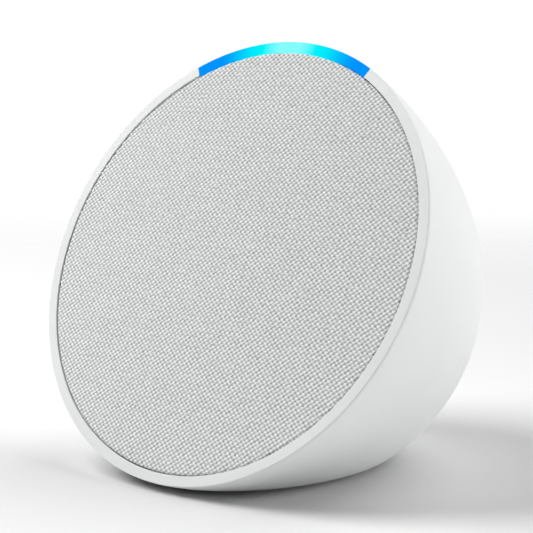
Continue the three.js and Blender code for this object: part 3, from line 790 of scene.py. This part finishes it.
def metal(name, colour, rough=0.3, streak=(40, 40, 900)):
    """Drawn or rolled metal, with fine streaks along one way."""
    n = Nodes(name)
    stretch = n.add("ShaderNodeMapping")
    stretch.inputs["Scale"].default_value = streak
    n.link(n.where, stretch.inputs["Vector"])
    lines = n.noise(20, 4, stretch.outputs["Vector"])
    n.colour(lines, darker(colour, 0.15), colour)
    n.link(n.spread(lines, rough - 0.07, rough + 0.1), n.shader.inputs["Roughness"])
    n.bump(lines, 0.2, 0.00001)
    n.shader.inputs["Metallic"].default_value = 1.0
    return n.material


def rubber(name, colour):
    """Matt rubber with a coarse moulded grain."""
    n = Nodes(name)
    n.colour(n.noise(120, 4), darker(colour, 0.2), colour)
    n.link(n.spread(n.noise(500, 3), 0.72, 0.9), n.shader.inputs["Roughness"])
    n.bump(n.noise(4500, 4), 0.5, 0.00004)
    return n.material


def foam():
    """Black foam with open cells."""
    n = Nodes("open_cell_foam")
    cells = n.add("ShaderNodeTexVoronoi")
    cells.inputs["Scale"].default_value = 2200
    n.link(n.where, cells.inputs["Vector"])
    n.link(n.ramp(cells.outputs["Distance"], [(0.1, (0.01, 0.01, 0.011)), (0.6, (0.05, 0.05, 0.052))]),
           n.shader.inputs["Base Color"])
    n.bump(cells.outputs["Distance"], 0.8, 0.0002)
    n.shader.inputs["Roughness"].default_value = 0.95
    return n.material


def circuit_board():
    """Solder mask with a faint net of copper tracks under it."""
    n = Nodes("solder_mask")
    tracks = n.add("ShaderNodeTexBrick")
    tracks.inputs["Scale"].default_value = 260
    tracks.inputs["Mortar Size"].default_value = 0.03
    tracks.inputs["Color1"].default_value = (0.012, 0.09, 0.04, 1)
    tracks.inputs["Color2"].default_value = (0.015, 0.11, 0.05, 1)
    tracks.inputs["Mortar"].default_value = (0.03, 0.2, 0.09, 1)
    n.link(n.where, tracks.inputs["Vector"])
    n.link(tracks.outputs["Color"], n.shader.inputs["Base Color"])
    n.link(n.spread(n.noise(300), 0.25, 0.4), n.shader.inputs["Roughness"])
    n.bump(tracks.outputs["Fac"], 0.3, 0.00003)
    return n.material


def fibrous(name, colour, scale=1800):
    """Pressed pulp or resin-dipped cloth."""
    n = Nodes(name)
    fibres = n.noise(scale, 5, rough=0.7)
    n.colour(fibres, darker(colour, 0.4), colour)
    n.bump(fibres, 0.6, 0.00008)
    n.shader.inputs["Roughness"].default_value = 0.9
    return n.material


def clear_plastic():
    """Clear plastic with a faint blue tint."""
    n = Nodes("clear_acrylic")
    n.colour(n.noise(90), (0.8, 0.86, 0.9), (0.88, 0.93, 0.96))
    n.link(n.spread(n.noise(400), 0.08, 0.2), n.shader.inputs["Roughness"])
    n.shader.inputs["Transmission Weight"].default_value = 0.8
    return n.material


def woven():
    """Plain weave, light yarns over grey ones. Each wave below is one way in which the yarns repeat; the
    first two set out the light and grey yarns, and the three shifted in phase paint shade and highlight on
    the yarn crowns, as if lit from one side.
    """
    n = Nodes("woven_grille_cloth")
    x, y, _ = n.face_place()
    wander = n.math("MULTIPLY", n.math("SUBTRACT", n.noise(700, 2), 0.5), 0.00036)
    drift = n.math("MULTIPLY", n.math("SUBTRACT", n.noise(620, 2), 0.5), 0.00030)
    column = n.math("MULTIPLY", n.math("ADD", x, wander), math.pi / (YARN_X * MM))
    row = n.math("MULTIPLY", n.math("ADD", y, drift), math.pi / (YARN_Y * MM))
    yarn_and_shade_waves = [
        (n.math("SUBTRACT", column, row), 0.0, 0.208),
        (n.math("ADD", column, row), 180.0, 0.133),
        # These three waves, shifted in phase, are painted shade and highlight: one side of each yarn crown
        # lighter, the other darker, as if lit from one side.
        (column, -119.0, 0.041),
        (row, -28.0, 0.023),
        (n.math("MULTIPLY", row, 2.0), 114.0, 0.043),
    ]
    tone = n.math("MULTIPLY", n.math("SUBTRACT", n.noise(1700, 3), 0.5), 0.6)
    for phase, ahead, amount in yarn_and_shade_waves:
        wave = n.math("COSINE", n.math("ADD", phase, math.radians(ahead)))
        tone = n.math("ADD", tone, n.math("MULTIPLY", wave, amount))
    tone = n.math("ADD", tone, 0.5)
    colour = n.ramp(tone, [(0.0, (0.154, 0.156, 0.155)), (0.16, (0.31, 0.315, 0.313)),
                           (0.82, (0.965, 0.975, 0.97)), (1.0, (0.98, 0.985, 0.98))])
    n.link(colour, n.shader.inputs["Base Color"])
    fibres = n.add("ShaderNodeTexWave", wave_type="BANDS", bands_direction="DIAGONAL")
    fibres.inputs["Scale"].default_value = 2600
    fibres.inputs["Distortion"].default_value = 6
    fibres.inputs["Detail"].default_value = 2
    n.link(n.where, fibres.inputs["Vector"])
    n.bump(fibres.outputs["Fac"], 0.3, 0.00003)
    n.shader.inputs["Roughness"].default_value = 0.9
    n.shader.inputs["Sheen Weight"].default_value = 0.15
    n.shader.inputs["Sheen Roughness"].default_value = 0.5
    n.shader.inputs["Specular IOR Level"].default_value = 0.15
    return n.material


def lit_diffuser():
    """A frosted bar lit from behind: pale in the middle, cyan beside it, azure out to its ends."""
    n = Nodes("lit_light_bar")
    x, y, _ = n.face_place()
    off_centre = math.radians(1)
    cloudy = n.math("MULTIPLY", n.math("SUBTRACT", n.noise(500, 3), 0.5), 0.02)
    angle = n.math("ADD", n.math("ARCTAN2", x, y), cloudy)
    away = n.math("DIVIDE", n.math("ABSOLUTE", n.math("SUBTRACT", angle, off_centre)), LIGHT_ANGLE)
    pale, cyan, azure = (0.22, 0.97, 0.95), (0.0, 0.89, 0.94), (0.0, 0.28, 0.97)
    stops = [(0.12, pale), (0.2, mixed(pale, cyan, 0.45)), (0.3, cyan), (0.41, mixed(cyan, azure, 0.12)),
             (0.58, mixed(cyan, azure, 0.6)), (0.68, mixed(cyan, azure, 0.85)), (0.78, azure)]
    colour = n.ramp(away, stops)
    n.link(colour, n.shader.inputs["Emission Color"])
    n.colour(n.noise(900, 2), (0.0, 0.01, 0.02), (0.0, 0.02, 0.03))
    n.shader.inputs["Emission Strength"].default_value = 1.0
    n.shader.inputs["Specular IOR Level"].default_value = 0.0
    n.link(n.spread(n.noise(3000, 2), 0.42, 0.55), n.shader.inputs["Roughness"])
    return n.material


def led_package():
    """Clear resin over pale yellow phosphor."""
    n = Nodes("led_package")
    n.colour(n.noise(600), (0.8, 0.75, 0.5), (0.95, 0.92, 0.75))
    n.shader.inputs["Roughness"].default_value = 0.25
    return n.material


def dress(material, *nodes):
    """Gives CAD nodes that stay in the visual model a finished material."""
    for node in nodes:
        slots = frame["nodes"][node].data.materials
        slots.clear()
        slots.append(material)


# ---------------------------------------------------------------- build


def build():
    """Every piece of the visual model, with the CAD nodes that stay in it."""
    fine = {"grain": 12000, "depth": 0.00001}
    shell_white = moulded("shell_plastic", (0.797, 0.808, 0.804), rough=0.6, gloss=0.12)
    rim_white = moulded("rim_plastic", (0.78, 0.794, 0.79), rough=0.5, gloss=0.2, **fine)
    key_white = moulded("key_plastic", (0.77, 0.784, 0.78), rough=0.5, gloss=0.2, **fine)
    mark_grey = moulded("printed_marks", (0.12, 0.125, 0.13), rough=0.5, **fine)
    black = moulded("black_plastic", (0.018, 0.019, 0.021), rough=0.5, grain=6000, depth=0.00003, wander=0.2)
    black_rubber = rubber("black_rubber", (0.014, 0.014, 0.015))
    steel = metal("plated_steel", (0.58, 0.6, 0.61))
    aluminium = metal("rolled_aluminium", (0.75, 0.76, 0.77), rough=0.35)
    copper = metal("copper_wire", (0.75, 0.34, 0.17), rough=0.28)
    board = circuit_board()
    padding = foam()

    stand_in(rear_shell(shell_white), "rear_shell")
    stand_in(front_rim(rim_white), "front_bezel")
    stand_in(light_bar(lit_diffuser()), "light_bar")
    grille = cloth(woven())
    stand_in(grille, "grille_fabric")
    for name, angle in KEYS.items():
        stand_in(key(name, angle, key_white), f"{name}_key")
    key_marks(mark_grey)
    stand_in(foot(rubber("grey_rubber", (0.42, 0.43, 0.43))), "base_foot")
    power_inlet(black, steel)

    screws = [n for n in frame["nodes"] if "screw" in n]
    switches = [f"{name}_{part}" for name in KEYS for part in ("switch", "plunger")]
    dress(steel, "driver_basket", "driver_top_plate", "driver_yoke", "shield_can", *screws)
    dress(black, "grille_plate", "front_baffle", "speaker_box", "button_bracket", "power_connector",
          *switches)
    dress(board, "led_board", "button_board", "main_board")
    dress(padding, "chamber_seal", "driver_gasket")
    dress(black_rubber, "driver_surround", "speaker_lead", "power_lead",
          "microphone_boot_left", "microphone_boot_right")
    dress(fibrous("pulp_cone", (0.035, 0.035, 0.038)), "driver_cone", "driver_dust_cap")
    spider(fibrous("spider_cloth", (0.55, 0.34, 0.12), 2600))
    dress(fibrous("ferrite", (0.06, 0.062, 0.066), 900), "driver_magnet")
    dress(aluminium, "voice_coil_former", "heat_spreader", "microphone_left", "microphone_right")
    dress(copper, "voice_coil_winding", "driver_terminals")
    dress(moulded("polyimide_film", (0.5, 0.24, 0.05), rough=0.3), "button_ribbon")
    dress(clear_plastic(), "light_guide")
    dress(led_package(), "led_1", "led_2", "led_3", "led_4")


# ---------------------------------------------------------------- stage, light and camera

FLOOR_GREY = 0.67
FLOOR_SIZE = 4
FLOOR_DROP = 0.00005  # keeps the floor just below the foot
FLOOR_FADE = (0.15, 0.55)  # distances from the middle between which the floor fades into the white background
FAR_LIGHT_WIDTH = math.radians(50)


def stage():
    """A pale floor that fades into a white background, which lights nothing."""
    bpy.ops.mesh.primitive_plane_add(size=FLOOR_SIZE, location=(0, 0, -FLOOR_DROP))
    floor = bpy.context.object
    floor.name = "floor"
    n = Nodes("pale_floor")
    n.colour(n.noise(3, 2), (FLOOR_GREY - 0.005,) * 3, (FLOOR_GREY + 0.005,) * 3)
    distance = n.add("ShaderNodeVectorMath", operation="LENGTH")
    n.link(n.where, distance.inputs[0])
    fade = n.add("ShaderNodeMapRange", interpolation_type="SMOOTHSTEP")
    fade.inputs["From Min"].default_value, fade.inputs["From Max"].default_value = FLOOR_FADE
    fade.inputs["To Min"].default_value, fade.inputs["To Max"].default_value = 1, 0
    n.link(distance.outputs["Value"], fade.inputs["Value"])
    n.link(fade.outputs["Result"], n.shader.inputs["Alpha"])
    n.shader.inputs["Roughness"].default_value = 0.9
    n.shader.inputs["Specular IOR Level"].default_value = 0.0
    floor.data.materials.append(n.material)

    world = bpy.data.worlds.new("studio")
    bpy.context.scene.world = world
    world.use_nodes = True
    world.node_tree.nodes["Background"].inputs["Color"].default_value = (1, 1, 1, 1)
    world.node_tree.nodes["Background"].inputs["Strength"].default_value = 1
    for ray in ("diffuse", "glossy", "transmission", "scatter"):
        setattr(world.cycles_visibility, ray, False)


def bearing(azimuth, elevation):
    """A unit vector away from the object. Azimuth 0 is in front and 90 to the right, in degrees."""
    a, e = math.radians(azimuth), math.radians(elevation)
    return Vector((math.sin(a) * math.cos(e), -math.cos(a) * math.cos(e), math.sin(e)))


def soft_light(name, azimuth, elevation, strength, distance=None, size=None):
    """A broad light. The strength is what reaches the object, in W/m2.

    With a distance it is a round softbox of that size, in metres. Without one it is wide and far away.
    """
    away = bearing(azimuth, elevation)
    light = bpy.data.lights.new(name, "AREA" if distance else "SUN")
    holder = bpy.data.objects.new(name, light)
    if distance:
        light.shape, light.size = "DISK", size
        light.energy = strength * math.pi * distance**2
        holder.location = CENTRE + away * distance
    else:
        light.angle, light.energy = FAR_LIGHT_WIDTH, strength
    holder.rotation_euler = away.to_track_quat("Z", "Y").to_euler()
    bpy.context.scene.collection.objects.link(holder)


def camera():
    """The photograph's view: from the right of the face and slightly above."""
    azimuth, elevation, roll = 40.08, 7.90, -0.36
    distance, lens, sensor = 0.3355, 107.8, 36
    aim_right, aim_up = 0.00891, -0.002287
    away = bearing(azimuth, elevation)
    right = Vector((math.cos(math.radians(azimuth)), math.sin(math.radians(azimuth)), 0))
    up = away.cross(right)
    target = CENTRE + right * aim_right + up * aim_up
    data = bpy.data.cameras.new("camera")
    data.lens, data.sensor_width = lens, sensor
    data.clip_start, data.clip_end = 0.01, 100
    view = bpy.data.objects.new("camera", data)
    axes = Matrix((right, up, away)).transposed()
    view.rotation_mode = "QUATERNION"
    view.rotation_quaternion = (axes @ Matrix.Rotation(math.radians(roll), 3, "Z")).to_quaternion()
    view.location = target + away * distance
    bpy.context.scene.collection.objects.link(view)
    bpy.context.scene.camera = view


camera()
build()
stage()
soft_light("left_box", -60, 48, 4.43, distance=0.8, size=0.65)
soft_light("right_box", 120, 12, 2.10, distance=0.8, size=0.6)
soft_light("back_fill", 170, 50, 1.90)
bpy.context.scene.view_settings.view_transform = "Standard"
